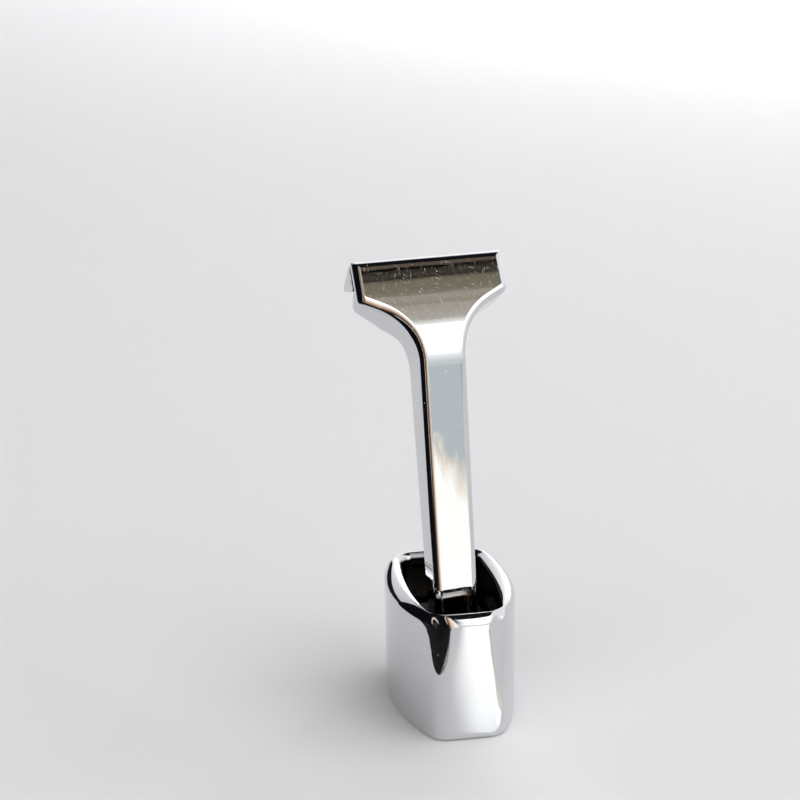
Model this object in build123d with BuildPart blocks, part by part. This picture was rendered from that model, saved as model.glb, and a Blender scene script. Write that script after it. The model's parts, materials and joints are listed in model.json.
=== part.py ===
from build123d import *
from math import cos, radians, sin
import os

# A chrome single-edge safety razor standing in its own weighted cup.  Millimetres, +Z up.
# Origin: centre of the stand's underside.  The razor's width runs along X, its shield faces -Y.

# ---- driving dimensions: the razor's body ------------------------------------------------------
RAZOR_X = -1.6                  # the razor stands a little left of the stand's centre
HEAD_WIDTH = 44.0
SHIELD_TILT = 33.0              # shield leans back from the vertical
HANDLE_LEAN = 8.6               # handle leans back from the vertical
BEND = (1.2, 109.2)             # where the two front planes would meet, in Y and Z
BEND_RADIUS = 28.0
SHIELD_HEIGHT = 26.5            # top edge down to the bend, along the shield
SHIELD_THICKNESS = 3.0
SHELF_DROP = 7.9                # top edge down to the shelf under the cartridge
SHELF_DEPTH = 5.5
SHELF_END = (14.4, -15.4)       # foot of the sloping shelf, back from and below the top edge
SHELF_END_ROUND = 1.5
REAR_BEND_RADIUS = 3.0
SHIELD_SIDE = 12.0              # where the straight side would meet the flare
FLARE_DROP = 19.5               # where the flare would meet the neck
NECK_HALF_WIDTH = 6.8
FOOT_HALF_WIDTH = 6.25
NECK_DEPTH = 13.2
FOOT_DEPTH = 8.2
HANDLE_LENGTH = 94.0            # bend to foot, along the handle
TIP_ROUND = 2.6
FLARE_ROUND = 17.0
FRONT_EDGE_ROUND = 2.1
REAR_EDGE_ROUND = 0.9

# ---- driving dimensions: fittings inside the razor ---------------------------------------------
CORE_RADIUS = 2.4
CORE_LENGTH = 64.0
CORE_CHAMFER = 0.4
PLUG_RADIUS = 3.0
PLUG_LENGTH = 6.0
SEAL_RADIUS = 0.5
SEAL_HEIGHT = 3.6               # above the foot's end face
COIN_SLOT = (1.2, 1.4)          # width and depth
SPRING_SEAT_ENDS = (0.8, 0.12)    # how far down the sloping shelf the flat of the spring lies
SPRING_LIFT = 0.2               # the leaf's middle above the shelf
SPRING_TIP = [(8.9, -6.3), (9.9, -6.5)]
SPRING_BEND = 0.4
SPRING_THICKNESS = 0.3
SPRING_HALF_WIDTH = 8.0
SPRING_SCREW_PLACES = [(-5.0, 0), (5.0, 0)]
SPRING_SCREW_RADIUS = 0.6
SPRING_SCREW_DEPTH = 3.0
SPRING_SCREW_STANDOFF = 0.4    # the leaf lies under the head
SPRING_SCREW_HEAD = 1.1
SPRING_SCREW_HEIGHT = 0.5

# ---- driving dimensions: the pivoting cartridge, in the head's side section ----------------------
PIVOT = (5.2, -4.6)
PIVOT_RADIUS = 0.8
EAR_RADIUS = 1.5
EAR_REACH = 2.6                 # from the pivot forward into the shield
EAR_SPAN = (19.5, 20.9)         # each ear of the body, measured out from the middle
CHEEK_SPAN = (21.1, 22.0)       # each end cheek of the cartridge
CAP_HALF_WIDTH = 20.95
JAW_HINGE = (5.15, -1.5)
JAW_HINGE_RADIUS = 0.45
CAP_BARREL_RADIUS = 1.05
RUNNING_CLEARANCE = 0.05
BLADE_HALF_LENGTH = 19.05
BLADE_WIDTH = 6.0
BLADE_THICKNESS = 0.25
BLADE_EDGE = (10.9, -2.3)
BLADE_RISE = 12.2               # the blade climbs towards its edge
SPINE_WIDTH = 1.5
SPINE_THICKNESS = 0.7
GUARD_BAR = (12.9, -3.6)
GUARD_BAR_RADIUS = 0.72
JAW_UNDERSIDE = [(4.1, -3.1), (4.1, -6.4), (4.9, -7.4)]
JAW_BLADE_BED = [(11.35, -3.9), (10.55, -2.51), (7.05, -3.26)]
SPINE_POCKET = [(6.95, -3.58), (4.62, -4.09), (4.62, -3.1)]
CAP_PLATE = [(9.45, -1.82), (9.4, -2.38), (7.15, -2.87), (6.8, -2.65)]
POD_PROFILE = [(4.1, -0.1), (13.6, -2.9), (13.6, -4.3), (4.9, -7.5), (4.1, -6.4)]
CHEEK_ROUND = 0.6
EAR_CLEARANCE_SPAN = (19.3, 21.1)
EAR_CLEARANCE_DEPTH = 7.1
BEVEL = 1.0
SPINE_WALL = 0.25
STUD_RADIUS = 0.5
STUD_DEPTH = 0.8
RINSE_SLOTS = 9
RINSE_SLOT_PITCH = 4.2
RINSE_SLOT_WIDTH = 3.0
RINSE_SLOT_PROFILE = [(10.8, -1.5), (12.0, -1.5), (12.0, -7.5), (9.2, -7.5), (10.2, -4.2)]
STUD_PLACES = [(-12.0, -3.1), (12.0, -3.1)]
SPRING_OFFSET = 9.0
SPRING_WINDOW = 4.0
SPRING_WINDOW_GAP = 0.1
COIL_LENGTH = 3.2
COIL_TURNS = 7
COIL_RADIUS = 0.68
COIL_WIRE_RADIUS = 0.15

# ---- driving dimensions: the stand -----------------------------------------------------------
STAND_TWIST = -7.0              # the razor rests slightly turned in the stand's loose pocket
STAND_HEIGHT = 38.0
STAND_FRONT = -25.8
STAND_BACK = 26.2
STAND_HALF_WIDTH = 18.4
STAND_SIDE_RADIUS = 55.0        # the bowed sides
STAND_SIDE_MIDDLE = 5.2         # where the sides are widest, along Y
STAND_CORNER_ROUND = 6.0
CUP_WALL = 6.0
FUNNEL_BASE = 33.0              # the cup's mouth widens from this level up
FUNNEL_TAPER = 18.0
RIM_ROUND = 3.6
BASE_ROUND = 0.6
BASE_WALL = 3.6
BASE_FIT = 0.1
FOOT_GAP = 0.4                  # the shell hangs this far above the surface, on its pad
CUP_FLOOR = 11.0
WEB_UNDERSIDE = 6.5
BALLAST_BASE = 3.2
PLATE_BASE = 1.0
INSERT_TOP = 23.0
POCKET_WIDTH = 14.2
POCKET_DEPTH = 11.2
POCKET_ROUND = 2.0
INSERT_FIT = 0.15
INSERT_CHAMFER = 0.6
SEAT_PAD_THICKNESS = 1.0
SEAT_GAP = 0.1
PAD_FIT = 0.2
SCREW_RADIUS = 1.25
SCREW_LENGTH = 8.0
SCREW_HEAD_RADIUS = 2.3
SCREW_HEAD_HEIGHT = 1.5
SCREW_GAP = 0.15
SCREW_PLACES = [(0, -19.0), (-11.0, 6.0), (11.0, 6.0), (0, 19.5)]

# ---- working frames --------------------------------------------------------------------------
head_back = Vector(0, cos(radians(SHIELD_TILT)), -sin(radians(SHIELD_TILT)))
head_up = Vector(0, sin(radians(SHIELD_TILT)), cos(radians(SHIELD_TILT)))
handle_back = Vector(0, cos(radians(HANDLE_LEAN)), -sin(radians(HANDLE_LEAN)))
handle_up = Vector(0, sin(radians(HANDLE_LEAN)), cos(radians(HANDLE_LEAN)))

bend_point = Vector(RAZOR_X, *BEND)
top_edge = bend_point + head_up * SHIELD_HEIGHT
foot_centre = bend_point - handle_up * HANDLE_LENGTH + handle_back * FOOT_DEPTH / 2

# Side sections: x runs back from the front face, y runs up along it.
head_side = Plane(origin=top_edge, x_dir=head_back, z_dir=(1, 0, 0))
handle_side = Plane(origin=bend_point, x_dir=handle_back, z_dir=(1, 0, 0))
# Front view of the shield: x runs across it, y runs up along it.
head_front = Plane(origin=top_edge, x_dir=(1, 0, 0), z_dir=-head_back)
# The foot's end face, and the blade's own section with its x axis towards the edge.
foot_plane = Plane(origin=foot_centre, x_dir=(1, 0, 0), z_dir=handle_up)
blade_side = Plane(
    origin=head_side.from_local_coords(BLADE_EDGE),
    x_dir=head_back * cos(radians(BLADE_RISE)) + head_up * sin(radians(BLADE_RISE)),
    z_dir=(1, 0, 0),
)
# The blade lies on this face of the lower jaw; y runs towards the edge.
blade_bed = Plane(
    origin=blade_side.from_local_coords((0, -BLADE_THICKNESS / 2)),
    x_dir=(1, 0, 0),
    z_dir=Vector(1, 0, 0).cross(blade_side.x_dir),
)
# The sloping shelf that the return spring is screwed to, half way down it.
shelf_top = Vector(SHELF_DEPTH, -SHELF_DROP)
shelf_foot = Vector(*SHELF_END)
slope_end = head_side.from_local_coords(shelf_foot)
slope = (slope_end - head_side.from_local_coords(shelf_top)).normalized()
spring_seat = Plane(
    origin=head_side.from_local_coords((shelf_top + shelf_foot) * 0.5),
    x_dir=(1, 0, 0),
    z_dir=Vector(1, 0, 0).cross(slope),
)
spring_seat_points = [
    head_side.to_local_coords(
        head_side.from_local_coords(shelf_top + (shelf_foot - shelf_top) * place)
        + spring_seat.z_dir * SPRING_LIFT
    )
    for place in SPRING_SEAT_ENDS
]
stand_plan = Plane.XY.rotated((0, 0, STAND_TWIST))

os.makedirs("parts", exist_ok=True)


def outer_edges(faces):
    """Edges that belong to only one of the faces: the border of the patch they make."""
    every_edge = [edge for face in faces for edge in face.edges()]
    return ShapeList(
        edge for edge in every_edge
        if sum(edge.is_same(other) for other in every_edge) == 1
    )


def on_head_side(depth, height):
    """A point of the handle's side section, in the head's side section."""
    return head_side.to_local_coords(handle_side.from_local_coords((depth, height)))


def save(part, name):
    """Label a finished piece and write it as its own file."""
    part.label = name
    export_step(part, f"parts/{name}.step")


# ---- razor: the one-piece T body ---------------------------------------------------------------
with BuildPart() as handle_body:
    with BuildSketch(head_side) as side_section:
        with BuildLine():
            Polyline(
                (0, 0),
                (SHIELD_THICKNESS, 0),
                (SHIELD_THICKNESS, -SHELF_DROP),
                (SHELF_DEPTH, -SHELF_DROP),
                SHELF_END,
                on_head_side(NECK_DEPTH, 0),
                on_head_side(FOOT_DEPTH, -HANDLE_LENGTH),
                on_head_side(0, -HANDLE_LENGTH),
                (0, -SHIELD_HEIGHT),
                close=True,
            )
        make_face()
        for corner, radius in (
            ((0, -SHIELD_HEIGHT), BEND_RADIUS),
            (on_head_side(NECK_DEPTH, 0), REAR_BEND_RADIUS),
            (SHELF_END, SHELF_END_ROUND),
        ):
            fillet(side_section.vertices().sort_by_distance(corner)[0], radius)
    extrude(amount=HEAD_WIDTH / 2, both=True)

    # The T outline is cut square to the shield, through shield, neck and handle alike.
    stem_end = HANDLE_LENGTH + SHIELD_HEIGHT
    with BuildSketch(head_front) as t_outline:
        with BuildLine():
            Polyline(
                (0, 0),
                (HEAD_WIDTH / 2, 0),
                (HEAD_WIDTH / 2, -SHIELD_SIDE),
                (NECK_HALF_WIDTH, -FLARE_DROP),
                (FOOT_HALF_WIDTH, -stem_end),
                (0, -stem_end),
                close=True,
            )
        make_face()
        tip = t_outline.vertices().sort_by_distance((HEAD_WIDTH / 2, -SHIELD_SIDE))[0]
        fillet(tip, TIP_ROUND)
        neck = t_outline.vertices().sort_by_distance((NECK_HALF_WIDTH, -FLARE_DROP))[0]
        fillet(neck, FLARE_ROUND)
        mirror(about=Plane.YZ)
    extrude(amount=-HANDLE_LENGTH, mode=Mode.INTERSECT)

    front_faces = handle_body.faces().filter_by(lambda face: face.normal_at().Y < -0.7)
    fillet(outer_edges(front_faces), FRONT_EDGE_ROUND)
    shelf_level = head_side.from_local_coords((0, -SHELF_DROP)).Z
    rear_faces = handle_body.faces().filter_by(
        lambda face: face.normal_at().Y > 0.7 and face.center().Z < shelf_level
    )
    fillet(outer_edges(rear_faces), REAR_EDGE_ROUND)

    # Ears behind the shield's ends carry the cartridge's pivot.
    for side in (-1, 1):
        with BuildSketch(head_side.offset(side * EAR_SPAN[0])):
            with Locations(PIVOT):
                Circle(EAR_RADIUS)
                Rectangle(EAR_REACH, 2 * EAR_RADIUS, align=(Align.MAX, Align.CENTER))
        extrude(amount=side * (EAR_SPAN[1] - EAR_SPAN[0]))
    with BuildSketch(head_side.offset(-EAR_SPAN[1])):
        with Locations(PIVOT):
            Circle(PIVOT_RADIUS)
    extrude(amount=2 * EAR_SPAN[1], mode=Mode.SUBTRACT)

    # Bore for the balance core, and a wider mouth for the foot plug.
    with BuildSketch(foot_plane):
        Circle(CORE_RADIUS)
    extrude(amount=PLUG_LENGTH + CORE_LENGTH, mode=Mode.SUBTRACT)
    with BuildSketch(foot_plane):
        Circle(PLUG_RADIUS)
    extrude(amount=PLUG_LENGTH, mode=Mode.SUBTRACT)
    # Tapped holes for the return spring's screws, square to the sloping shelf.
    with BuildSketch(spring_seat):
        with Locations(*SPRING_SCREW_PLACES):
            Circle(SPRING_SCREW_RADIUS)
    extrude(amount=-SPRING_SCREW_DEPTH, mode=Mode.SUBTRACT)
save(handle_body.part, "handle_body")

with BuildPart() as handle_core:
    with BuildSketch(foot_plane.offset(PLUG_LENGTH)):
        Circle(CORE_RADIUS)
    extrude(amount=CORE_LENGTH)
    chamfer(handle_core.edges().filter_by(GeomType.CIRCLE), CORE_CHAMFER)
save(handle_core.part, "handle_core")

with BuildPart() as foot_plug:
    with BuildSketch(foot_plane):
        Circle(PLUG_RADIUS)
    extrude(amount=PLUG_LENGTH)
    # Groove for the seal, and a coin slot across the end.
    with BuildSketch(foot_plane.offset(SEAL_HEIGHT - SEAL_RADIUS)):
        Circle(PLUG_RADIUS)
        Circle(PLUG_RADIUS - 2 * SEAL_RADIUS, mode=Mode.SUBTRACT)
    extrude(amount=2 * SEAL_RADIUS, mode=Mode.SUBTRACT)
    with BuildSketch(foot_plane):
        Rectangle(3 * PLUG_RADIUS, COIN_SLOT[0])
    extrude(amount=COIN_SLOT[1], mode=Mode.SUBTRACT)
save(foot_plug.part, "foot_plug")

with BuildPart() as foot_seal:
    with BuildSketch(Plane(foot_plane.origin, x_dir=foot_plane.x_dir, z_dir=-handle_back)):
        with Locations((PLUG_RADIUS - SEAL_RADIUS, SEAL_HEIGHT)):
            Circle(SEAL_RADIUS)
    revolve(axis=Axis(foot_plane.origin, foot_plane.z_dir))
save(foot_seal.part, "foot_seal")

# ---- razor: pivot pins and the return spring on the shelf --------------------------------------
with BuildPart() as pivot_pins:
    for side in (-1, 1):
        with BuildSketch(head_side.offset(side * EAR_SPAN[0])):
            with Locations(PIVOT):
                Circle(PIVOT_RADIUS)
        extrude(amount=side * (CHEEK_SPAN[1] - EAR_SPAN[0]))
save(pivot_pins.part, "pivot_pins")

with BuildPart() as return_spring:
    with BuildSketch(head_side):
        with BuildLine():
            FilletPolyline(*spring_seat_points, *SPRING_TIP, radius=SPRING_BEND)
        trace(line_width=SPRING_THICKNESS)
    extrude(amount=SPRING_HALF_WIDTH, both=True)
    with BuildSketch(spring_seat):
        with Locations(*SPRING_SCREW_PLACES):
            Circle(SPRING_SCREW_RADIUS + RUNNING_CLEARANCE)
    extrude(amount=SPRING_SCREW_STANDOFF, mode=Mode.SUBTRACT)
save(return_spring.part, "return_spring")

with BuildPart() as spring_screws:
    with BuildSketch(spring_seat):
        with Locations(*SPRING_SCREW_PLACES):
            Circle(SPRING_SCREW_RADIUS)
    extrude(amount=-SPRING_SCREW_DEPTH)
    with BuildSketch(spring_seat):
        with Locations(*SPRING_SCREW_PLACES):
            Circle(SPRING_SCREW_RADIUS)
    extrude(amount=SPRING_SCREW_STANDOFF)
    with BuildSketch(spring_seat.offset(SPRING_SCREW_STANDOFF)):
        with Locations(*SPRING_SCREW_PLACES):
            Circle(SPRING_SCREW_HEAD)
    extrude(amount=SPRING_SCREW_HEIGHT)
save(spring_screws.part, "spring_screws")

# ---- cartridge: the lower jaw, with its guard bar and end cheeks ---------------------------------
with BuildPart() as guard_jaw:
    with BuildSketch(head_side):
        with BuildLine():
            Polyline(
                *JAW_UNDERSIDE,
                (GUARD_BAR[0], GUARD_BAR[1] - GUARD_BAR_RADIUS),
                (GUARD_BAR[0] - GUARD_BAR_RADIUS, GUARD_BAR[1]),
                *JAW_BLADE_BED,
                *SPINE_POCKET,
                close=True,
            )
        make_face()
        with Locations(GUARD_BAR):
            Circle(GUARD_BAR_RADIUS)
    extrude(amount=CHEEK_SPAN[0], both=True)
    # Rinse slots open the floor between the blade's bed and the guard bar.
    for index in range(RINSE_SLOTS):
        middle = (index - (RINSE_SLOTS - 1) / 2) * RINSE_SLOT_PITCH
        with BuildSketch(head_side.offset(middle)):
            with BuildLine():
                Polyline(*RINSE_SLOT_PROFILE, close=True)
            make_face()
        extrude(amount=RINSE_SLOT_WIDTH / 2, both=True, mode=Mode.SUBTRACT)
    # End cheeks close the jaw and reach forward past the body's ears to the pivot pins.
    for side in (-1, 1):
        with BuildSketch(head_side.offset(side * EAR_CLEARANCE_SPAN[0])):
            with Locations((EAR_CLEARANCE_DEPTH, 0)):
                Rectangle(
                    EAR_CLEARANCE_DEPTH, SHIELD_HEIGHT, align=(Align.MAX, Align.CENTER)
                )
        extrude(amount=side * (CHEEK_SPAN[0] - EAR_CLEARANCE_SPAN[0]), mode=Mode.SUBTRACT)
        with BuildSketch(head_side.offset(side * CHEEK_SPAN[0])) as cheek:
            with BuildLine():
                Polyline(*POD_PROFILE, close=True)
            make_face()
            fillet(cheek.vertices(), CHEEK_ROUND)
            with Locations(PIVOT):
                Circle(PIVOT_RADIUS + RUNNING_CLEARANCE, mode=Mode.SUBTRACT)
            with Locations(JAW_HINGE):
                Circle(JAW_HINGE_RADIUS, mode=Mode.SUBTRACT)
        extrude(amount=side * (CHEEK_SPAN[1] - CHEEK_SPAN[0]))
    # Holes for the studs that place the blade.
    with BuildSketch(blade_bed):
        with Locations(*STUD_PLACES):
            Circle(STUD_RADIUS)
    extrude(amount=-STUD_DEPTH, mode=Mode.SUBTRACT)
save(guard_jaw.part, "guard_jaw")

# ---- cartridge: blade, its folded spine and the studs that place it ------------------------------
with BuildPart() as blade:
    with BuildSketch(blade_side):
        with BuildLine():
            Polyline(
                (0, BLADE_THICKNESS / 2),
                (-BEVEL, -BLADE_THICKNESS / 2),
                (-BLADE_WIDTH, -BLADE_THICKNESS / 2),
                (-BLADE_WIDTH, BLADE_THICKNESS / 2),
                close=True,
            )
        make_face()
    extrude(amount=BLADE_HALF_LENGTH, both=True)
    with BuildSketch(blade_bed):
        with Locations(*STUD_PLACES):
            Circle(STUD_RADIUS + RUNNING_CLEARANCE)
    extrude(amount=2 * BLADE_THICKNESS, mode=Mode.SUBTRACT)
save(blade.part, "blade")

with BuildPart() as blade_spine:
    with BuildSketch(blade_side):
        with Locations((-BLADE_WIDTH + SPINE_WIDTH, 0)):
            Rectangle(SPINE_WIDTH + SPINE_WALL, SPINE_THICKNESS, align=(Align.MAX, Align.CENTER))
            Rectangle(
                SPINE_WIDTH, BLADE_THICKNESS, align=(Align.MAX, Align.CENTER), mode=Mode.SUBTRACT
            )
    extrude(amount=BLADE_HALF_LENGTH, both=True)
save(blade_spine.part, "blade_spine")

with BuildPart() as blade_studs:
    with BuildSketch(blade_bed):
        with Locations(*STUD_PLACES):
            Circle(STUD_RADIUS)
    extrude(amount=-STUD_DEPTH)
    with BuildSketch(blade_bed):
        with Locations(*STUD_PLACES):
            Circle(STUD_RADIUS)
    extrude(amount=BLADE_THICKNESS)
save(blade_studs.part, "blade_studs")

# ---- cartridge: the upper jaw on its hinge pin ---------------------------------------------------
with BuildPart() as jaw_hinge_pin:
    with BuildSketch(head_side.offset(-CHEEK_SPAN[1])):
        with Locations(JAW_HINGE):
            Circle(JAW_HINGE_RADIUS)
    extrude(amount=2 * CHEEK_SPAN[1])
save(jaw_hinge_pin.part, "jaw_hinge_pin")

with BuildPart() as cap_jaw:
    with BuildSketch(head_side) as cap_section:
        with BuildLine():
            Polyline(
                (JAW_HINGE[0], JAW_HINGE[1] + CAP_BARREL_RADIUS),
                *CAP_PLATE,
                (JAW_HINGE[0], JAW_HINGE[1] - CAP_BARREL_RADIUS),
                close=True,
            )
        make_face()
        with Locations(JAW_HINGE):
            Circle(CAP_BARREL_RADIUS)
            Circle(JAW_HINGE_RADIUS + RUNNING_CLEARANCE, mode=Mode.SUBTRACT)
    extrude(amount=CAP_HALF_WIDTH, both=True)
    # Windows in the barrel for the closing springs.
    for side in (-1, 1):
        with BuildSketch(head_side.offset(side * SPRING_OFFSET)):
            with Locations(JAW_HINGE):
                Circle(CAP_BARREL_RADIUS + SPRING_WINDOW_GAP)
        extrude(amount=SPRING_WINDOW / 2, both=True, mode=Mode.SUBTRACT)
save(cap_jaw.part, "cap_jaw")

with BuildPart() as clamp_springs:
    for side in (-1, 1):
        coil_start = head_side.offset(side * SPRING_OFFSET - COIL_LENGTH / 2)
        coil_path = Helix(
            pitch=COIL_LENGTH / COIL_TURNS,
            height=COIL_LENGTH,
            radius=COIL_RADIUS,
            center=coil_start.from_local_coords(JAW_HINGE),
            direction=(1, 0, 0),
        )
        with BuildSketch(Plane(origin=coil_path @ 0, z_dir=coil_path % 0)):
            Circle(COIL_WIRE_RADIUS)
        sweep(path=coil_path, is_frenet=True)
save(clamp_springs.part, "clamp_springs")

# ---- stand: the weighted cup ---------------------------------------------------------------------
with BuildSketch() as stand_outline:
    with BuildLine():
        side_centre = STAND_HALF_WIDTH - STAND_SIDE_RADIUS
        front_x, back_x = (
            side_centre + (STAND_SIDE_RADIUS**2 - (end - STAND_SIDE_MIDDLE) ** 2) ** 0.5
            for end in (STAND_FRONT, STAND_BACK)
        )
        Line((0, STAND_FRONT), (front_x, STAND_FRONT))
        ThreePointArc(
            (front_x, STAND_FRONT), (STAND_HALF_WIDTH, STAND_SIDE_MIDDLE), (back_x, STAND_BACK)
        )
        Line((back_x, STAND_BACK), (0, STAND_BACK))
        mirror(about=Plane.YZ)
    make_face()
    fillet(stand_outline.vertices().filter_by(lambda v: abs(v.X) > 1), STAND_CORNER_ROUND)


def stand_section(inset, bottom, height):
    """Extrude the stand's plan, drawn in by inset, upwards from the given level."""
    with BuildPart() as slab:
        with BuildSketch(stand_plan.offset(bottom)):
            offset(stand_outline.sketch, amount=-inset)
        extrude(amount=height)
    return slab.part


with BuildPart() as stand_shell:
    add(stand_section(0, FOOT_GAP, STAND_HEIGHT - FOOT_GAP))
    fillet(stand_shell.faces().sort_by(Axis.Z)[-1].edges(), RIM_ROUND)
    fillet(stand_shell.faces().sort_by(Axis.Z)[0].edges(), BASE_ROUND)
    add(stand_section(CUP_WALL, CUP_FLOOR, STAND_HEIGHT), mode=Mode.SUBTRACT)
    with BuildSketch(stand_plan.offset(FUNNEL_BASE)):
        offset(stand_outline.sketch, amount=-CUP_WALL)
    extrude(amount=STAND_HEIGHT - FUNNEL_BASE, taper=-FUNNEL_TAPER, mode=Mode.SUBTRACT)
    add(stand_section(BASE_WALL, 0, WEB_UNDERSIDE), mode=Mode.SUBTRACT)
    with BuildSketch(stand_plan.offset(PLATE_BASE)):
        with Locations(*SCREW_PLACES):
            Circle(SCREW_RADIUS)
    extrude(amount=SCREW_LENGTH, mode=Mode.SUBTRACT)
save(stand_shell.part, "stand_shell")

with BuildPart() as ballast_weight:
    add(stand_section(BASE_WALL + BASE_FIT, BALLAST_BASE, WEB_UNDERSIDE - BALLAST_BASE))
    with BuildSketch(stand_plan.offset(BALLAST_BASE)):
        with Locations(*SCREW_PLACES):
            Circle(SCREW_RADIUS + 2 * SCREW_GAP)
    extrude(amount=WEB_UNDERSIDE - BALLAST_BASE, mode=Mode.SUBTRACT)
save(ballast_weight.part, "ballast_weight")

with BuildPart() as base_plate:
    add(stand_section(BASE_WALL + BASE_FIT, PLATE_BASE, BALLAST_BASE - PLATE_BASE))
    for hole_radius, hole_depth in (
        (SCREW_RADIUS + SCREW_GAP, BALLAST_BASE - PLATE_BASE),
        (SCREW_HEAD_RADIUS + SCREW_GAP, SCREW_HEAD_HEIGHT),
    ):
        with BuildSketch(stand_plan.offset(PLATE_BASE)):
            with Locations(*SCREW_PLACES):
                Circle(hole_radius)
        extrude(amount=hole_depth, mode=Mode.SUBTRACT)
save(base_plate.part, "base_plate")

with BuildPart() as base_screws:
    with BuildSketch(stand_plan.offset(PLATE_BASE)):
        with Locations(*SCREW_PLACES):
            Circle(SCREW_RADIUS)
    extrude(amount=SCREW_LENGTH)
    with BuildSketch(stand_plan.offset(PLATE_BASE)):
        with Locations(*SCREW_PLACES):
            Circle(SCREW_HEAD_RADIUS)
    extrude(amount=SCREW_HEAD_HEIGHT)
save(base_screws.part, "base_screws")

with BuildPart() as base_pad:
    add(stand_section(BASE_WALL + BASE_FIT, 0, PLATE_BASE))
save(base_pad.part, "base_pad")

# ---- stand: the insert that holds the razor's foot ------------------------------------------------
pocket_floor = Plane(
    origin=foot_plane.origin - handle_up * (SEAT_PAD_THICKNESS + SEAT_GAP),
    x_dir=(cos(radians(STAND_TWIST)), sin(radians(STAND_TWIST)), 0),
    z_dir=handle_up,
)
with BuildPart() as seat_insert:
    add(stand_section(CUP_WALL + INSERT_FIT, CUP_FLOOR, INSERT_TOP - CUP_FLOOR))
    chamfer(seat_insert.faces().sort_by(Axis.Z)[-1].edges(), INSERT_CHAMFER)
    with BuildSketch(pocket_floor):
        RectangleRounded(POCKET_WIDTH, POCKET_DEPTH, POCKET_ROUND)
    extrude(amount=STAND_HEIGHT, mode=Mode.SUBTRACT)
save(seat_insert.part, "seat_insert")

with BuildPart() as seat_pad:
    with BuildSketch(pocket_floor):
        RectangleRounded(
            POCKET_WIDTH - 2 * PAD_FIT, POCKET_DEPTH - 2 * PAD_FIT, POCKET_ROUND - PAD_FIT
        )
    extrude(amount=SEAT_PAD_THICKNESS)
save(seat_pad.part, "seat_pad")
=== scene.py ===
import json
import math
from math import cos, radians, sin

import bpy
from mathutils import Matrix, Vector


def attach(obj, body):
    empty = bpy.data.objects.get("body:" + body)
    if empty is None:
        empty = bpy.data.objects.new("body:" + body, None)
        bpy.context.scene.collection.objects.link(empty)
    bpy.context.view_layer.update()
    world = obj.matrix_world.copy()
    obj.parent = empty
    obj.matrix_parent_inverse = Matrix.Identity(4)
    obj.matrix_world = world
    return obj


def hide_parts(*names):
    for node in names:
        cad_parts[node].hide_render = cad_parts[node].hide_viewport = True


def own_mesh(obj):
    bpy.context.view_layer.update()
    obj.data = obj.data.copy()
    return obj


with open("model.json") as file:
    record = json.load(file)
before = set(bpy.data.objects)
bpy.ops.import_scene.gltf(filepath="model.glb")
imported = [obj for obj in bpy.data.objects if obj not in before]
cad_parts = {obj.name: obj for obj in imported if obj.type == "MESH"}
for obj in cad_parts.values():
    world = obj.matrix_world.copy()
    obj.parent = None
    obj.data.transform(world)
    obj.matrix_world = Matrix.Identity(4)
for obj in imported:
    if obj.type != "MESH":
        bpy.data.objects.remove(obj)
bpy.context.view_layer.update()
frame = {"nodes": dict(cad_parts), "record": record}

# A chrome safety razor that stands in its own cup, on a pale floor under soft light.  The CAD nodes
# keep their shapes; the cup's shell is made again here, and the return spring is copied as it is.

MM = 0.001
X, Y, Z = range(3)

# ---- camera: metres and degrees, in the part's own frame ----------------------------------------
CAMERA_PLACE = Vector((-0.1578, -0.4824, 0.2571))
CAMERA_TURN = 16.5              # towards +X from looking straight along +Y
CAMERA_DROP = 17.9              # below the horizon
CAMERA_ROLL = 0.88
CAMERA_LENS = 85.5              # millimetres
CAMERA_CLIP = (0.01, 20)

# ---- studio: metres ------------------------------------------------------------------------------
FLOOR_BACK = 1.9                # where the floor sweeps up into the backdrop
FLOOR_FRONT = -6.0
FLOOR_HALF_WIDTH = 2.6
SWEEP_RADIUS = 0.5
SWEEP_STEPS = 16
BACKDROP_HEIGHT = 1.6
FLOOR_COLOUR = (0.70, 0.70, 0.71)
FLOOR_ROUGHNESS = 0.7
# Each lamp: name, place, target, width and height, watts.
LAMPS = [
    ("key_light", (1.4, -0.6, 1.9), (0, 0.2, 0), (2.4, 2.4), 30),
    ("fill_light", (-1.2, -0.9, 1.6), (0, 0.3, 0), (2.0, 2.0), 18),
    ("backdrop_light", (2.0, 1.5, 0.7), (1.3, 2.3, 0.3), (0.8, 0.8), 50),
]

# The world by the slope of the line of sight: its rise over its distance forward (towards -Y). Each
# row: slope, colour. The dark bands above the bright opening are thin, and a ramp has few steps, so
# they have one of their own.
FRONT_SLOPES = [
    (-0.30, (0.65, 0.71, 0.73)),
    (-0.005, (0.65, 0.71, 0.73)),
    (0.080, (0.80, 0.83, 0.85)),
    (0.220, (1.19, 1.20, 1.21)),
    (0.330, (2.40, 2.40, 2.40)),
]
FRONT_SPAN = (-0.4, 1.0)
TOP_FROM = 1.145                # the slope where the second ramp takes over
TOP_SLOPES = [
    (1.150, (2.40, 2.40, 2.38)),
    (1.178, (1.20, 1.18, 1.12)),
    (1.185, (0.56, 0.52, 0.46)),
    (1.203, (0.50, 0.44, 0.36)),
    (1.206, (0.38, 0.33, 0.26)),
    (1.216, (0.46, 0.41, 0.34)),
    (1.2195, (0.30, 0.27, 0.21)),
    (1.224, (0.25, 0.22, 0.16)),
    (1.237, (0.23, 0.20, 0.14)),
    (1.2405, (0.14, 0.11, 0.08)),
    (1.2415, (0.045, 0.038, 0.028)),
    (1.2470, (0.065, 0.052, 0.040)),
    (1.2530, (0.040, 0.032, 0.024)),
    (1.2545, (0.004, 0.004, 0.004)),
    (1.2570, (0.004, 0.004, 0.004)),
    (1.2580, (0.125, 0.095, 0.068)),
    (1.2680, (0.150, 0.115, 0.082)),
    (1.2700, (0.020, 0.016, 0.012)),
    (1.290, (0.008, 0.008, 0.010)),
]
TOP_SPAN = (1.14, 1.30)
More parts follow.
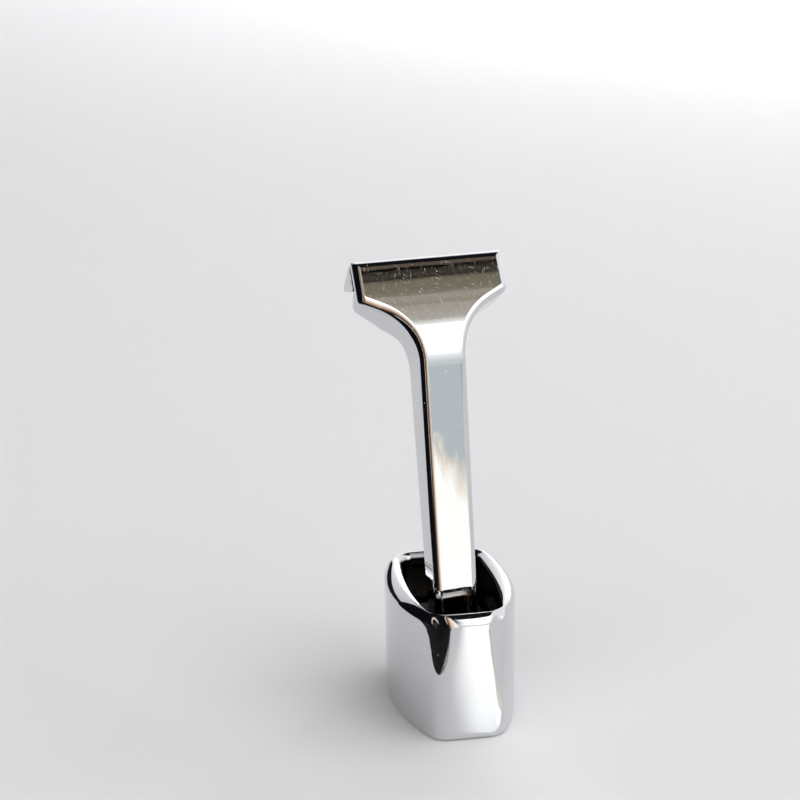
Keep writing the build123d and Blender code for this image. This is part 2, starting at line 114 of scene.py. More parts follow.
# The rest of the world, by the height of the line of sight: the sine of its angle to the horizon.
HEIGHT_SPAN = (-1.0, 1.0)
ROOM_HEIGHTS_LEFT = [
    (-0.30, (0.64, 0.65, 0.66)),
    (0.02, (0.76, 0.77, 0.78)),
    (0.42, (0.84, 0.84, 0.84)),
    (0.58, (0.075, 0.068, 0.062)),
    (0.75, (0.008, 0.009, 0.011)),
]
ROOM_HEIGHTS_RIGHT = [
    (-0.30, (0.72, 0.73, 0.74)),
    (0.02, (1.00, 1.01, 1.02)),
    (0.70, (1.12, 1.12, 1.12)),
    (0.79, (0.062, 0.056, 0.05)),
    (0.86, (0.008, 0.009, 0.011)),
]
LEFT_TO_RIGHT = (-0.05, 0.25)   # the line of sight's X, from the left rows to the right ones
# The bright opening's sides, each from clear to solid: sideways over forward.
OPENING_LEFT = (-0.02, 0.14)
OPENING_RIGHT = (1.3, 0.9)
LEAST_FORWARD = 0.02            # below this a line of sight doesn't count as forward

# ---- cards that only the chrome sees: metres -----------------------------------------------------
# An upright card stands over a line between two ends, and a lying one has an outline. Rows of place
# and colour run along one axis, over a span.
CARD_LIFT = 0.001               # how far a card that lies down is above the floor
CARD_LEFT = -0.11
CARD_CORNER = (CARD_LEFT, -0.065)    # where the dark card and the warm one meet
DARK_ENDS = (CARD_CORNER, (CARD_LEFT, 0.120))
DARK_HEIGHTS = (0, 0.42)
DARK_SPAN = (-0.2, 0.4)
DARK_ROWS = [
    (-0.2, (0.006, 0.007, 0.009)),
    (0.06, (0.004, 0.005, 0.007)),
    (0.3, (0.012, 0.013, 0.015)),
]
WARM_ENDS = (CARD_CORNER, (-0.03, -0.45))
WARM_HEIGHTS = (0, 0.65)
WARM_SPAN = (-0.46, -0.06)
WARM_ROWS = [
    (-0.40, (1.40, 1.24, 1.06)),
    (-0.30, (1.07, 0.83, 0.63)),
    (-0.20, (0.60, 0.39, 0.25)),
    (-0.135, (0.13, 0.082, 0.057)),
    (-0.115, (0.015, 0.013, 0.012)),
    (-0.080, (0.01, 0.01, 0.01)),
]
STRIP_ENDS = ((-0.102, -0.083), (-0.099, -0.098))
STRIP_HEIGHTS = (0.04, 0.6)
STRIP_FADE = (Z, 0.04, 0.07)
STRIP_SPAN = (0.0, 0.6)
STRIP_ROWS = [
    (0.0, (0.88, 0.82, 0.75)),
    (0.6, (0.88, 0.82, 0.75)),
]
FAR_ENDS = ((-1.2, 1.2), (-0.06, 1.2))
FAR_HEIGHTS = (0.002, 0.30)
FAR_SPAN = (0.0, 0.3)
FAR_ROWS = [
    (0.0, (0.010, 0.011, 0.013)),
    (0.3, (0.012, 0.012, 0.014)),
]
SIDE_OUTLINE = [
    (-0.036, -0.080),
    (-0.040, -0.20),
    (CARD_LEFT, -0.20),
    (CARD_LEFT, 0.06),
    (-0.080, 0.01),
]
SIDE_SPAN = (-0.20, 0.06)
SIDE_ROWS = [
    (-0.195, (1.20, 1.08, 0.95)),
    (-0.165, (0.80, 0.58, 0.42)),
    (-0.145, (0.16, 0.10, 0.065)),
    (-0.130, (0.016, 0.014, 0.013)),
    (0.06, (0.020, 0.020, 0.020)),
]
EDGE_FAR = (0.034, -0.10)       # the edge that the glowing sheet shares with the warm strip
EDGE_NEAR = (0.018, -0.028)
GLOW_OUTLINE = [
    (-0.30, FLOOR_FRONT),
    (2.60, FLOOR_FRONT),
    (0.25, -0.30),
    (0.12, -0.19),
    EDGE_FAR,
    EDGE_NEAR,
    (-0.05, -0.028),
]
GLOW_FADE = (X, -0.008, 0.002)
GLOW_SPAN = (-1.5, 0.1)
GLOW_ROWS = [
    (-1.35, (0.65, 0.71, 0.73)),
    (-1.15, (0.96, 0.90, 0.80)),
    (-0.95, (1.26, 1.17, 1.04)),
    (-0.78, (1.48, 1.45, 1.38)),
    (-0.30, (1.50, 1.47, 1.40)),
    (-0.050, (1.50, 1.50, 1.46)),
    (-0.023, (1.42, 1.43, 1.43)),
    (-0.013, (1.00, 1.02, 1.04)),
]
WARM_STRIP_OUTLINE = [EDGE_NEAR, EDGE_FAR, (0.048, -0.10), (0.024, -0.028)]
WARM_STRIP_SPAN = (-0.12, 0.0)
WARM_STRIP_ROWS = [
    (-0.11, (0.70, 0.46, 0.30)),
    (-0.03, (0.95, 0.90, 0.85)),
]
# The glowing sheet's bands slant between two lines of sight (X over Y) and fray into streaks.
GLOW_RAGGED = 0.7               # how far the bands move, as a share of their distance
SLANT_RIGHT = -0.325
SLANT_LEFT = -0.292
NEAREST_Y = -0.01               # X over Y counts from here on
STREAKS_ACROSS = 150            # noise cells for one unit of X over Y
STREAKS_ALONG = 2.0             # noise cells for each metre away
STREAKS_DETAIL = 1.5
STREAKS_SHARE = 0.9

# ---- the cup, in millimetres ---------------------------------------------------------------------
CUP_TWIST = -7.0
CUP_HEIGHT = 38.0
# The plan at the outside and at the opening: half width, sides' radius, front, back, corners' radius.
CUP_OUTSIDE = (18.4, 55.0, -25.8, 26.2, 6.0)
CUP_OPENING = (12.3, 130.0, -21.6, 22.2, 4.0)
CUP_SIDE_MIDDLE = 5.2
CUP_GAP = 0.4
CUP_BASE_ROUND = 0.6
CUP_BASE_ROUND_SHARE = 0.1      # shares count from 0 at the outside to 1 at the opening
CUP_BASE_WALL_SHARE = 0.55
CUP_WEB = 6.5
CUP_FLOOR = 11.0
CUP_RIM_DROP = 3.0
CUP_RIM_POWER = 1.45
CUP_CREST_SHARE = 0.52          # where the rim is highest
CUP_LIP_DROP = 2.6
CUP_SETTLE = 2.0                # how far the rim's corners are drawn in
CUP_SETTLE_FROM = 16.0          # the height where that starts
CUP_END_STEPS = 8
CUP_CORNER_STEPS = 22
CUP_SIDE_STEPS = 34
CUP_WALL_STEPS = 24
CUP_RIM_STEPS = 14
CUP_BASE_STEPS = 6
CUP_WEIGHT_PASSES = 30
CUP_SHARP_ANGLE = 40.0
CUP_SHADE_HEIGHTS = (37.4, 35.8)     # the heights between which painted shade darkens the inside
CUP_FACING = (0.0, -3.0)        # place dot normal, from side-on to well turned to the middle

# ---- the return spring ---------------------------------------------------------------------------
SHELF_FACING = 16.9             # degrees that its shelf faces upwards from +Y


def place_camera():
    """A long lens from the front left and above, with a touch of roll."""
    turn, drop, roll = (radians(angle) for angle in (CAMERA_TURN, CAMERA_DROP, CAMERA_ROLL))
    ahead = Vector((sin(turn), cos(turn), 0))
    right = Vector((cos(turn), -sin(turn), 0))
    up = Vector((0, 0, 1))
    forward = ahead * cos(drop) - up * sin(drop)
    down = -(ahead * sin(drop) + up * cos(drop))
    image_right = right * cos(roll) + down * sin(roll)
    image_down = down * cos(roll) - right * sin(roll)
    data = bpy.data.cameras.new("camera")
    data.lens = CAMERA_LENS
    data.clip_start, data.clip_end = CAMERA_CLIP
    camera = bpy.data.objects.new("camera", data)
    turned = Matrix((image_right, -image_down, -forward)).transposed()
    camera.matrix_world = Matrix.Translation(CAMERA_PLACE) @ turned.to_4x4()
    bpy.context.collection.objects.link(camera)
    bpy.context.scene.camera = camera


class Nodes:
    """Builds a node tree with one short call per node."""

    def __init__(self, tree):
        self.tree = tree

    def add(self, kind, inputs=None, **settings):
        node = self.tree.nodes.new(kind)
        for name, value in settings.items():
            setattr(node, name, value)
        for key, value in (inputs or {}).items():
            if isinstance(value, bpy.types.NodeSocket):
                self.tree.links.new(value, node.inputs[key])
            else:
                node.inputs[key].default_value = value
        return node

    def math(self, operation, first, second=0.0):
        node = self.add("ShaderNodeMath", {0: first, 1: second}, operation=operation)
        return node.outputs[0]

    def remap(self, value, low, high, out_low=0.0, out_high=1.0, **settings):
        """Stretches a value's range and holds it there."""
        inputs = {0: value, 1: low, 2: high, 3: out_low, 4: out_high}
        return self.add("ShaderNodeMapRange", inputs, **settings).outputs[0]

    def noise(self, place, scale, detail=2.0, roughness=0.5):
        """Plain noise with a feature size of about 1 / scale."""
        inputs = {"Vector": place, "Scale": scale, "Detail": detail, "Roughness": roughness}
        return self.add("ShaderNodeTexNoise", inputs).outputs["Fac"]

    def dot(self, first, second):
        """How far two vectors agree."""
        node = self.add("ShaderNodeVectorMath", {0: first, 1: second}, operation="DOT_PRODUCT")
        return node.outputs["Value"]

    def ramp(self, factor, span, rows):
        """A colour ramp whose rows are given in the factor's own units."""
        low, high = span
        node = self.add("ShaderNodeValToRGB", {"Fac": self.remap(factor, low, high)})
        elements = node.color_ramp.elements
        while len(elements) < len(rows):
            elements.new(0.5)
        for element, (place, colour) in zip(elements, rows):
            element.position = (place - low) / (high - low)
            element.color = (*colour, 1)
        return node.outputs["Color"]

    def mix(self, factor, first, second):
        """Blends two colours, each a colour or a socket."""
        node = self.add("ShaderNodeMix", data_type="RGBA")
        for name, value in (("Factor_Float", factor), ("A_Color", first), ("B_Color", second)):
            socket = next(s for s in node.inputs if s.identifier == name)
            if isinstance(value, bpy.types.NodeSocket):
                self.tree.links.new(value, socket)
            else:
                socket.default_value = (*value, 1) if isinstance(value, tuple) else value
        return next(s for s in node.outputs if s.identifier == "Result_Color")


def light_world():
    """Pale walls and a dark ceiling, with a wide bright opening ahead of the shield."""
    world = bpy.data.worlds.new("studio")
    bpy.context.scene.world = world
    world.use_nodes = True
    n = Nodes(world.node_tree)
    sight = n.add("ShaderNodeTexCoord").outputs["Generated"]
    across, back, rise = n.add("ShaderNodeSeparateXYZ", {"Vector": sight}).outputs
    forward = n.math("MULTIPLY", back, -1.0)
    distance = n.math("MAXIMUM", forward, LEAST_FORWARD)
    slope = n.math("DIVIDE", rise, distance)
    ahead = n.mix(
        n.math("GREATER_THAN", slope, TOP_FROM),
        n.ramp(slope, FRONT_SPAN, FRONT_SLOPES),
        n.ramp(slope, TOP_SPAN, TOP_SLOPES),
    )
    room = n.mix(
        n.remap(across, *LEFT_TO_RIGHT),
        n.ramp(rise, HEIGHT_SPAN, ROOM_HEIGHTS_LEFT),
        n.ramp(rise, HEIGHT_SPAN, ROOM_HEIGHTS_RIGHT),
    )
    sideways = n.math("DIVIDE", across, distance)
    sides = n.math(
        "MULTIPLY", n.remap(sideways, *OPENING_LEFT), n.remap(sideways, *OPENING_RIGHT)
    )
    share = n.math("MULTIPLY", sides, n.math("GREATER_THAN", forward, LEAST_FORWARD))
    background = world.node_tree.nodes["Background"]
    world.node_tree.links.new(n.mix(share, room, ahead), background.inputs["Color"])


def link_mesh(name, verts, faces, smooth=True):
    """A new mesh object from its points and faces."""
    mesh = bpy.data.meshes.new(name)
    mesh.from_pydata([Vector(v) for v in verts], [], faces)
    mesh.validate()
    for polygon in mesh.polygons:
        polygon.use_smooth = smooth
    made = bpy.data.objects.new(name, mesh)
    bpy.context.collection.objects.link(made)
    return made


def lay_floor():
    """A pale floor that sweeps up into a backdrop."""
    profile = [(FLOOR_FRONT, 0.0), (FLOOR_BACK, 0.0)]
    for step in range(1, SWEEP_STEPS + 1):
        angle = math.pi / 2 * step / SWEEP_STEPS
        profile.append(
            (FLOOR_BACK + SWEEP_RADIUS * sin(angle), SWEEP_RADIUS * (1 - cos(angle)))
        )
    profile.append((FLOOR_BACK + SWEEP_RADIUS, BACKDROP_HEIGHT))
    verts = [(side * FLOOR_HALF_WIDTH, y, z) for y, z in profile for side in (-1, 1)]
    faces = [(2 * i, 2 * i + 1, 2 * i + 3, 2 * i + 2) for i in range(len(profile) - 1)]
    floor = link_mesh("floor", verts, faces)
    material = bpy.data.materials.new("floor")
    material.use_nodes = True
    shader = material.node_tree.nodes["Principled BSDF"]
    shader.inputs["Base Color"].default_value = (*FLOOR_COLOUR, 1)
    shader.inputs["Roughness"].default_value = FLOOR_ROUGHNESS
    floor.data.materials.append(material)


def add_softbox(name, place, target, size, power):
    """A large soft light that the chrome doesn't mirror."""
    data = bpy.data.lights.new(name, "AREA")
    data.shape = "RECTANGLE"
    data.size, data.size_y = size
    data.energy = power
    lamp = bpy.data.objects.new(name, data)
    lamp.location = place
    lamp.rotation_mode = "QUATERNION"
    lamp.rotation_quaternion = (Vector(target) - Vector(place)).to_track_quat("-Z", "Y")
    lamp.visible_glossy = False
    lamp.visible_camera = False
    bpy.context.collection.objects.link(lamp)


def frayed(n, axes, along, ragged):
    """A place along one axis, moved to and fro by a slant and by streaks."""
    aside = n.math("DIVIDE", axes[X], n.math("MINIMUM", axes[Y], NEAREST_Y))
    slant = n.remap(aside, SLANT_RIGHT, SLANT_LEFT, 0.5, -0.5)
    across = n.math("MULTIPLY", aside, STREAKS_ACROSS)
    away = n.math("MULTIPLY", axes[Y], STREAKS_ALONG)
    cells = n.add("ShaderNodeCombineXYZ", {X: across, Y: away}).outputs[0]
    streaks = n.math("SUBTRACT", n.noise(cells, 1.0, STREAKS_DETAIL), 0.5)
    fray = n.math("MULTIPLY", streaks, STREAKS_SHARE)
    shift = n.math("MULTIPLY", n.math("ADD", fray, slant), ragged)
    return n.math("MULTIPLY", axes[along], n.math("ADD", 1.0, shift))


def add_card(name, corners, rows, span, along, fade=None, ragged=0.0):
    """A card that only the chrome sees, coloured in bands along one axis.

    A fade is an axis, the place where the card is clear and the place where it is solid.
    A ragged card's bands slant and fray, by a share of their distance.
    """
    card = link_mesh(name, corners, [tuple(range(len(corners)))], smooth=False)
    material = bpy.data.materials.new(name)
    material.use_nodes = True
    material.node_tree.nodes.clear()
    n = Nodes(material.node_tree)
    place = n.add("ShaderNodeTexCoord").outputs["Object"]
    axes = n.add("ShaderNodeSeparateXYZ", {"Vector": place}).outputs
    banded = frayed(n, axes, along, ragged) if ragged else axes[along]
    solid = 1.0
    if fade:
        axis, clear, full = fade
        solid = n.remap(axes[axis], clear, full, interpolation_type="SMOOTHSTEP")
    glow = n.add("ShaderNodeEmission", {"Color": n.ramp(banded, span, rows)})
    nothing = n.add("ShaderNodeBsdfTransparent")
    blend = n.add("ShaderNodeMixShader", {0: solid, 1: nothing.outputs[0], 2: glow.outputs[0]})
    n.add("ShaderNodeOutputMaterial", {"Surface": blend.outputs[0]})
    card.data.materials.append(material)
    card.visible_camera = False
    card.visible_diffuse = False
    card.visible_shadow = False


def standing(ends, heights):
    """Corners of an upright card over the line between two points of the floor."""
    start, end = ends
    low, high = heights
    return [(*start, low), (*end, low), (*end, high), (*start, high)]


def lying(outline):
    """Corners of a card that lies on the floor."""
    return [(x, y, CARD_LIFT) for x, y in outline]


def set_cards():
    """Dark and warm cards on the left, a dark one far behind, and bright sheets on the floor."""
    add_card("dark_card", standing(DARK_ENDS, DARK_HEIGHTS), DARK_ROWS, DARK_SPAN, Y)
    add_card("warm_card", standing(WARM_ENDS, WARM_HEIGHTS), WARM_ROWS, WARM_SPAN, Y)
    strip = standing(STRIP_ENDS, STRIP_HEIGHTS)
    add_card("light_strip", strip, STRIP_ROWS, STRIP_SPAN, Z, STRIP_FADE)
    add_card("far_card", standing(FAR_ENDS, FAR_HEIGHTS), FAR_ROWS, FAR_SPAN, Z)
    add_card("side_sheet", lying(SIDE_OUTLINE), SIDE_ROWS, SIDE_SPAN, Y)
    add_card("floor_glow", lying(GLOW_OUTLINE), GLOW_ROWS, GLOW_SPAN, Y, GLOW_FADE, GLOW_RAGGED)
    add_card("warm_strip", lying(WARM_STRIP_OUTLINE), WARM_STRIP_ROWS, WARM_STRIP_SPAN, Y)


# ---- materials: object coordinates in millimetres, so every pattern has its real size ------------
CHROME = (0.685, 0.69, 0.70)
CHROME_COOLER = tuple(c * f for c, f in zip(CHROME, (0.985, 0.995, 1.01)))
CHROME_WORN = (0.62, 0.61, 0.59)
# painted shade: the colour that the cup's inner walls below the lip are darkened to
CHROME_PAINTED_SHADE = (0.20, 0.17, 0.14)
CHROME_ROUGHNESS = 0.004
CHROME_EDGE_RADIUS = 0.12
CHROME_EDGE_BEND = (0.995, 0.90)     # how far a rounded edge's normal still agrees with the true one
CHROME_RIPPLE_SHARE = 0.04      # the fine ripple's depth over the long waves'
# Each set of scratches: turn, length, fineness, cut.
CHROME_SCRATCHES = [
    ((0.1, 0.9, 0.2), 9.0, 7.0, 0.715),
    ((0.3, -0.6, 0.1), 7.0, 8.0, 0.72),
    ((0.2, 1.4, -0.3), 8.0, 6.0, 0.72),
]
SCRATCH_CUT_WIDTH = 0.03
SCRATCH_DEPTH = 0.0004
SCRATCH_ROUGHNESS = 0.25
SMUDGE_ROUGHNESS = 0.035
WEAR_ROUGHNESS = 0.12
WEAR_TINT = 0.5
DUST = (0.78, 0.77, 0.74)
DUST_SPACING = 2.0
DUST_RADIUS = 0.16
DUST_HEIGHT = 0.03
DUST_ROUGHNESS = 0.8

# Ground or turned metals: colour, roughness, the grain's turn in radians, its cells per millimetre
# and its depth.
STEELS = {
    "steel_pins": ((0.62, 0.62, 0.64), 0.22, (0, radians(90), 0), 9.0, 0.004),
    "blade_steel": ((0.72, 0.73, 0.75), 0.18, (0, 0, 0), 14.0, 0.003),
    "spring_steel": ((0.42, 0.42, 0.45), 0.34, (0, 0, 0), 8.0, 0.005),
    "brass": ((0.78, 0.58, 0.28), 0.25, (0, 0.15, 0), 7.0, 0.006),
}
STEEL_STRETCH = (0.35, 1.0, 1.0)     # the grain runs along X
STEEL_PATCH_SHADE = 0.78

# Plastics and rubbers: colour, roughness, the grain's cells per millimetre, its depth.
MOULDINGS = {
    "black_polymer": ((0.03, 0.03, 0.035), 0.32, 5.0, 0.01),
    "seal_rubber": ((0.035, 0.035, 0.035), 0.55, 7.0, 0.006),
    "pad_rubber": ((0.05, 0.05, 0.055), 0.62, 6.0, 0.02),
}
LINT = (0.32, 0.32, 0.33)
LINT_SPACING = 1.7
LINT_RADIUS = 0.09
LINT_SHARE = 0.2

CAST = (0.30, 0.30, 0.31)
CAST_SHADE = 0.55
CAST_METALLIC = 0.85
CAST_DEPTH = 0.08
PIT_SPACING = 1.1
PIT_RADIUS = 0.22
PIT_SHARE = 0.5


def start_material(name):
    """A new material with its shader, a node builder and object coordinates in millimetres."""
    material = bpy.data.materials.new(name)
    material.use_nodes = True
    n = Nodes(material.node_tree)
    shader = material.node_tree.nodes["Principled BSDF"]
    place = n.add("ShaderNodeTexCoord").outputs["Object"]
    scaled = n.add("ShaderNodeVectorMath", {0: place, 3: 1 / MM}, operation="SCALE")
    return material, n, shader, scaled.outputs["Vector"]


def hairlines(n, place, turn, length, fineness, cut):
    """Sparse straight scratches along one direction: 1 on a scratch, 0 beside it.

    The length is in millimetres, and a higher cut leaves fewer of them.
    """
    turned = n.add("ShaderNodeMapping", {"Vector": place, "Rotation": turn}).outputs[0]
    stretched = n.add(
        "ShaderNodeMapping", {"Vector": turned, "Scale": (1 / length, fineness, fineness)}
    ).outputs[0]
    return n.remap(n.noise(stretched, 1.0, 1.0), cut, cut + SCRATCH_CUT_WIDTH)


def specks(n, place, spacing, radius, share):
    """Small round spots, in only some of the cells: 1 on a spot, 0 beside it."""
    cells = n.add("ShaderNodeTexVoronoi", {"Vector": place, "Scale": 1 / spacing})
    near = n.remap(cells.outputs["Distance"], radius / spacing, 0.5 * radius / spacing)
    chosen = n.add("ShaderNodeSeparateColor", {"Color": cells.outputs["Color"]}).outputs[0]
    return n.math("MULTIPLY", near, n.math("LESS_THAN", chosen, share))


def bump(n, height, depth, normal=None):
    """A bump whose depth is in millimetres."""
    inputs = {"Height": height, "Distance": depth * MM, "Strength": 1.0}
    if normal is not None:
        inputs["Normal"] = normal
    return n.add("ShaderNodeBump", inputs).outputs[0]


def painted_cup_shade_mask(n, place):
    """Where painted shade darkens the cup: 1 on the walls that face the cup's middle, below the lip,
    and 0 elsewhere.
    """
    level = n.add("ShaderNodeVectorMath", {0: place, 1: (1, 1, 0)}, operation="MULTIPLY")
    normal = n.add("ShaderNodeTexCoord").outputs["Normal"]
    facing = n.remap(n.dot(level.outputs[0], normal), *CUP_FACING)
    height = n.add("ShaderNodeSeparateXYZ", {"Vector": place}).outputs[2]
    return n.math("MULTIPLY", facing, n.remap(height, *CUP_SHADE_HEIGHTS))


def make_chrome(name, wave_depth, dust_share, cup=False):
    """Mirror plating with faint waves, hairline scratches, smudges, worn edges and dust.

    Inside a cup, painted shade darkens the chrome's colour on the walls below the lip.
    """
    material, n, shader, place = start_material(name)
    scratches = 0.0
    for scratch in CHROME_SCRATCHES:
        scratches = n.math("MAXIMUM", scratches, hairlines(n, place, *scratch))
    smudge = n.remap(n.noise(place, 0.11, detail=4.0, roughness=0.6), 0.53, 0.74)
    mottle = n.math("MULTIPLY", smudge, n.noise(place, 1.4, detail=3.0, roughness=0.7))
    dust = specks(n, place, DUST_SPACING, DUST_RADIUS, dust_share)
    soft_edge = n.add("ShaderNodeBevel", {"Radius": CHROME_EDGE_RADIUS * MM}, samples=4).outputs[0]
    true_edge = n.add("ShaderNodeNewGeometry").outputs["Normal"]
    on_edge = n.remap(n.dot(soft_edge, true_edge), *CHROME_EDGE_BEND)
    rubbed = n.remap(n.noise(place, 2.2, detail=4.0, roughness=0.7), 0.42, 0.66)
    wear = n.math("MULTIPLY", on_edge, rubbed)
    rough = n.math("ADD", CHROME_ROUGHNESS, n.math("MULTIPLY", mottle, SMUDGE_ROUGHNESS))
    rough = n.math("ADD", rough, n.math("MULTIPLY", scratches, SCRATCH_ROUGHNESS))
    rough = n.math("ADD", rough, n.math("MULTIPLY", wear, WEAR_ROUGHNESS))
    rough = n.math("MAXIMUM", rough, n.math("MULTIPLY", dust, DUST_ROUGHNESS))
    tint = n.mix(n.noise(place, 0.05), CHROME, CHROME_COOLER)
    tint = n.mix(n.math("MULTIPLY", wear, WEAR_TINT), tint, CHROME_WORN)
    # painted shade: the cup's inner walls below the lip are darkened in colour
    if cup:
        tint = n.mix(painted_cup_shade_mask(n, place), tint, CHROME_PAINTED_SHADE)
    shader.inputs["Metallic"].default_value = 1     # the value without the dust; for a reader that can't follow the dust
    n.tree.links.new(n.mix(dust, tint, DUST), shader.inputs["Base Color"])
    n.tree.links.new(rough, shader.inputs["Roughness"])
    n.tree.links.new(n.math("SUBTRACT", 1.0, dust), shader.inputs["Metallic"])
    waves = bump(n, n.noise(place, 0.10, detail=1.0), wave_depth, soft_edge)
    ripple_depth = wave_depth * CHROME_RIPPLE_SHARE
    ripple = bump(n, n.noise(place, 0.5, detail=1.0), ripple_depth, waves)
    marks = bump(n, n.math("SUBTRACT", 1.0, scratches), SCRATCH_DEPTH, ripple)
    n.tree.links.new(bump(n, dust, DUST_HEIGHT, marks), shader.inputs["Normal"])
    return material


def make_steel(name, colour, roughness, grain_turn, grain_scale, depth):
    """Ground or turned metal: a directional grain, with darker patches in places."""
    material, n, shader, place = start_material(name)
    turned = n.add("ShaderNodeMapping", {"Vector": place, "Rotation": grain_turn}).outputs[0]
    along = n.add("ShaderNodeMapping", {"Vector": turned, "Scale": STEEL_STRETCH}).outputs[0]
    grain = n.noise(along, grain_scale, detail=3.0, roughness=0.65)
    patches = n.remap(n.noise(place, 0.5, detail=3.0), 0.4, 0.7)
    darker = tuple(c * STEEL_PATCH_SHADE for c in colour)
    n.tree.links.new(n.mix(patches, colour, darker), shader.inputs["Base Color"])
    shader.inputs["Metallic"].default_value = 1
    rough = n.remap(grain, 0.3, 0.7, roughness * 0.75, roughness * 1.35)
    n.tree.links.new(rough, shader.inputs["Roughness"])
    n.tree.links.new(bump(n, grain, depth), shader.inputs["Normal"])
    return material


def make_moulded(name, colour, roughness, grain, depth):
    """Plastic or rubber with a fine moulded grain and a little lint."""
    material, n, shader, place = start_material(name)
    skin = n.noise(place, grain, detail=3.0, roughness=0.6)
    lint = specks(n, place, LINT_SPACING, LINT_RADIUS, LINT_SHARE)
    lighter = tuple(c * 1.7 + 0.004 for c in colour)
    base = n.mix(n.remap(n.noise(place, 0.4), 0.35, 0.75), colour, lighter)
    n.tree.links.new(n.mix(lint, base, LINT), shader.inputs["Base Color"])
    rough = n.remap(skin, 0.3, 0.7, roughness * 0.85, roughness * 1.15)
    n.tree.links.new(rough, shader.inputs["Roughness"])
    n.tree.links.new(bump(n, skin, depth), shader.inputs["Normal"])
    return material


def make_cast(name):
    """Rough cast metal with pits and a dull skin."""
    material, n, shader, place = start_material(name)
    skin = n.noise(place, 1.6, detail=5.0, roughness=0.7)
    pits = specks(n, place, PIT_SPACING, PIT_RADIUS, PIT_SHARE)
    darker = tuple(c * CAST_SHADE for c in CAST)
    n.tree.links.new(n.mix(skin, CAST, darker), shader.inputs["Base Color"])
    shader.inputs["Metallic"].default_value = CAST_METALLIC
    n.tree.links.new(n.remap(skin, 0.3, 0.7, 0.5, 0.8), shader.inputs["Roughness"])
    height = n.math("SUBTRACT", skin, pits)
    n.tree.links.new(bump(n, height, CAST_DEPTH), shader.inputs["Normal"])
    return material


def make_materials():
    """One finish for each of the record's material slots."""
    made = {
        "chrome_razor": make_chrome("chrome_razor", wave_depth=0.0012, dust_share=0.45),
        "chrome_stand": make_chrome("chrome_stand", wave_depth=0.006, dust_share=0.3, cup=True),
        "cast_steel": make_cast("cast_steel"),
    }
    for name, recipe in STEELS.items():
        made[name] = make_steel(name, *recipe)
    for name, recipe in MOULDINGS.items():
        made[name] = make_moulded(name, *recipe)
    return made


# ---- the stand's shell: the cup's rolled rim, modelled finely ------------------------------------
def arc(centre, radius, start, end, steps):
    """Points midway along equal steps of an arc, with how far along it each one is."""
    for step in range(steps):
        part = (step + 0.5) / steps
        angle = start + (end - start) * part
        yield centre[0] + radius * cos(angle), centre[1] + radius * sin(angle), part


def half_plan(share):
    """The plan's +X half, from the middle of the front to the middle of the back.

    Each point: X, Y and a weight, which is 0 but for the corners.
    """
    half_width, _, front, back, corner = (
        outer + (inner - outer) * share for outer, inner in zip(CUP_OUTSIDE, CUP_OPENING)
    )
    radius = 1 / (1 / CUP_OUTSIDE[1] + (1 / CUP_OPENING[1] - 1 / CUP_OUTSIDE[1]) * share)
    side_centre = (half_width - radius, CUP_SIDE_MIDDLE)
    reach = radius - corner
    ends = []
    for y in (front + corner, back - corner):
        rise = y - CUP_SIDE_MIDDLE
        x = side_centre[0] + (reach**2 - rise**2) ** 0.5
        ends.append(((x, y), math.atan2(rise, x - side_centre[0])))
    (front_corner, front_angle), (back_corner, back_angle) = ends
    flat = [(step + 0.5) / CUP_END_STEPS for step in range(CUP_END_STEPS)]
    half = [(front_corner[0] * part, front, 0.0) for part in flat]
    for x, y, part in arc(front_corner, corner, -math.pi / 2, front_angle, CUP_CORNER_STEPS):
        half.append((x, y, sin(math.pi * part)))
    for x, y, _ in arc(side_centre, radius, front_angle, back_angle, CUP_SIDE_STEPS):
        half.append((x, y, 0.0))
    for x, y, part in arc(back_corner, corner, back_angle, math.pi / 2, CUP_CORNER_STEPS):
        half.append((x, y, sin(math.pi * part)))
    half += [(back_corner[0] * (1 - part), back, 0.0) for part in flat]
    return half


def cup_ring(share, height, settle):
    """Points of the cup's plan at one height: a flat front and back, bowed sides, round corners.

    share blends the outside's plan into the opening's, and settle draws in the corners.
    """
    half = half_plan(share)
    ring = half + [(-x, y, weight) for x, y, weight in reversed(half)]
    weights = smooth_weights([weight for _, _, weight in ring])
    turn = Matrix.Rotation(radians(CUP_TWIST), 3, "Z")
    points = []
    for (x, y, _), weight in zip(ring, weights):
        inward = Vector((x, y - CUP_SIDE_MIDDLE, 0)).normalized() * settle * weight
        points.append(turn @ (Vector((x, y, height)) - inward) * MM)
    return points


def smooth_weights(values):
    """Spreads the corners' weights gently along their neighbours."""
    count = len(values)
    for _ in range(CUP_WEIGHT_PASSES):
        values = [
            (values[i - 1] + 2 * values[i] + values[(i + 1) % count]) / 4 for i in range(count)
        ]
    return values


def quarter(start, end, steps, flat_first, power=1.0):
    """Points of a quarter curve between two corners of a profile, ends left out.

    It leaves the start level if flat_first, or else upright. A power of 1 gives an ellipse, and a
    higher one comes nearer to a chamfer.
    """
    points = []
    for step in range(1, steps):
        angle = math.pi / 2 * step / steps
        long, short = sin(angle) ** power, 1 - cos(angle) ** power
        across, up = (long, short) if flat_first else (short, long)
        points.append(
            (start[0] + (end[0] - start[0]) * across, start[1] + (end[1] - start[1]) * up)
        )
    return points


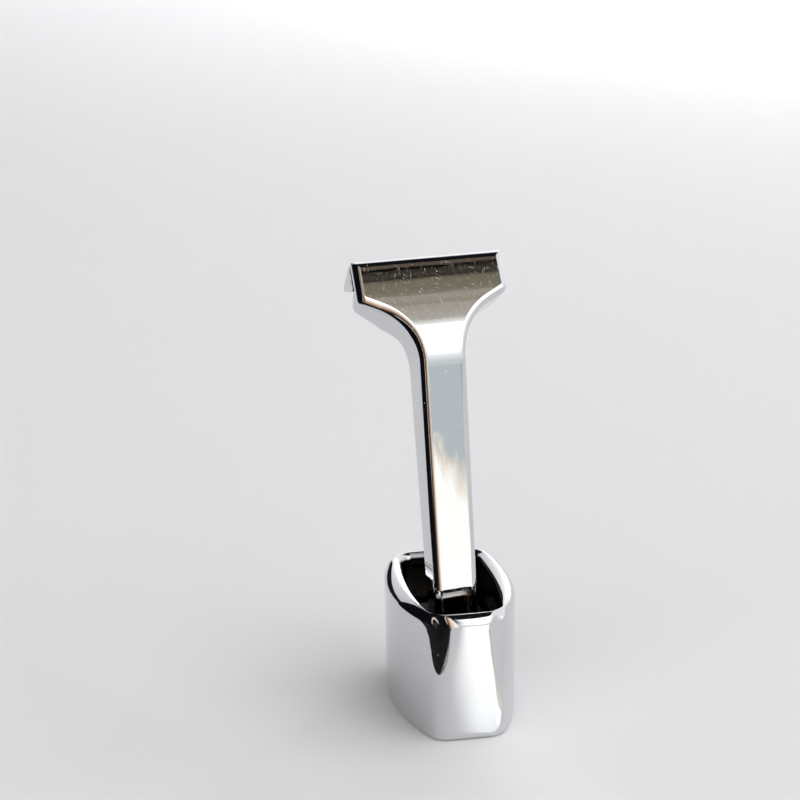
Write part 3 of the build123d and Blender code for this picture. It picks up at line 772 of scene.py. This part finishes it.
def cup_profile():
    """The wall's section from its underside over the rim to the cup's floor: share and height."""
    base = CUP_GAP + CUP_BASE_ROUND
    rows = [
        (CUP_BASE_WALL_SHARE, CUP_WEB),
        (CUP_BASE_WALL_SHARE, CUP_GAP),
        (CUP_BASE_ROUND_SHARE, CUP_GAP),
    ]
    rows += quarter(rows[-1], (0, base), CUP_BASE_STEPS, flat_first=False)
    shoulder = CUP_HEIGHT - CUP_RIM_DROP
    for step in range(CUP_WALL_STEPS + 1):
        rows.append((0, base + (shoulder - base) * step / CUP_WALL_STEPS))
    crest = (CUP_CREST_SHARE, CUP_HEIGHT)
    rows += quarter((0, shoulder), crest, CUP_RIM_STEPS, flat_first=False, power=CUP_RIM_POWER)
    rows.append(crest)
    lip = (1, CUP_HEIGHT - CUP_LIP_DROP)
    rows += quarter(crest, lip, CUP_RIM_STEPS, flat_first=True)
    for step in range(CUP_WALL_STEPS + 1):
        rows.append((1, lip[1] + (CUP_FLOOR - lip[1]) * step / CUP_WALL_STEPS))
    return rows


def make_stand_shell(material):
    """The chrome cup: rings of points lofted from the underside over the rim into the cup."""
    rings = []
    for share, height in cup_profile():
        rise = max(0.0, (height - CUP_SETTLE_FROM) / (CUP_HEIGHT - CUP_SETTLE_FROM))
        rings.append(cup_ring(share, height, CUP_SETTLE * rise**2 * (1 - share)))
    count = len(rings[0])
    verts = [point for ring in rings for point in ring]
    faces = []
    for low in range(0, len(verts) - count, count):
        for i in range(count):
            after = (i + 1) % count
            faces.append((low + i, low + after, low + count + after, low + count + i))
    underside = tuple(reversed(range(count)))
    cup_floor = tuple(range(len(verts) - count, len(verts)))
    faces += [underside, cup_floor]
    shell = link_mesh("cup_shell", verts, faces)
    shell.data.set_sharp_from_angle(angle=radians(CUP_SHARP_ANGLE))
    shell.data.materials.append(material)
    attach(shell, "stand")
    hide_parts("stand_shell")


# ---- the return spring: the CAD leaf, copied onto the razor --------------------------------------
def make_leaf_spring(node):
    """The CAD leaf as a piece of its own, with its own mesh; its underside is found but not moved."""
    leaf = bpy.data.objects.new("leaf_spring", node.data.copy())
    leaf.matrix_world = node.matrix_world
    bpy.context.collection.objects.link(leaf)
    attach(leaf, "razor")
    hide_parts("return_spring")
    outward = Vector((0, cos(radians(SHELF_FACING)), sin(radians(SHELF_FACING))))
    places = [leaf.matrix_world @ vertex.co for vertex in leaf.data.vertices]
    underside = min(places, key=outward.dot)
    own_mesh(leaf)


# ---- everything is made here ---------------------------------------------------------------------
bpy.context.scene.view_settings.view_transform = "Standard"
place_camera()
light_world()
lay_floor()
for lamp in LAMPS:
    add_softbox(*lamp)
set_cards()

materials = make_materials()
for subpart in frame["record"]["subparts"]:
    for slot in frame["nodes"][subpart["node"]].material_slots:
        slot.material = materials[subpart["material_slot"]]
make_stand_shell(materials["chrome_stand"])
make_leaf_spring(frame["nodes"]["return_spring"])
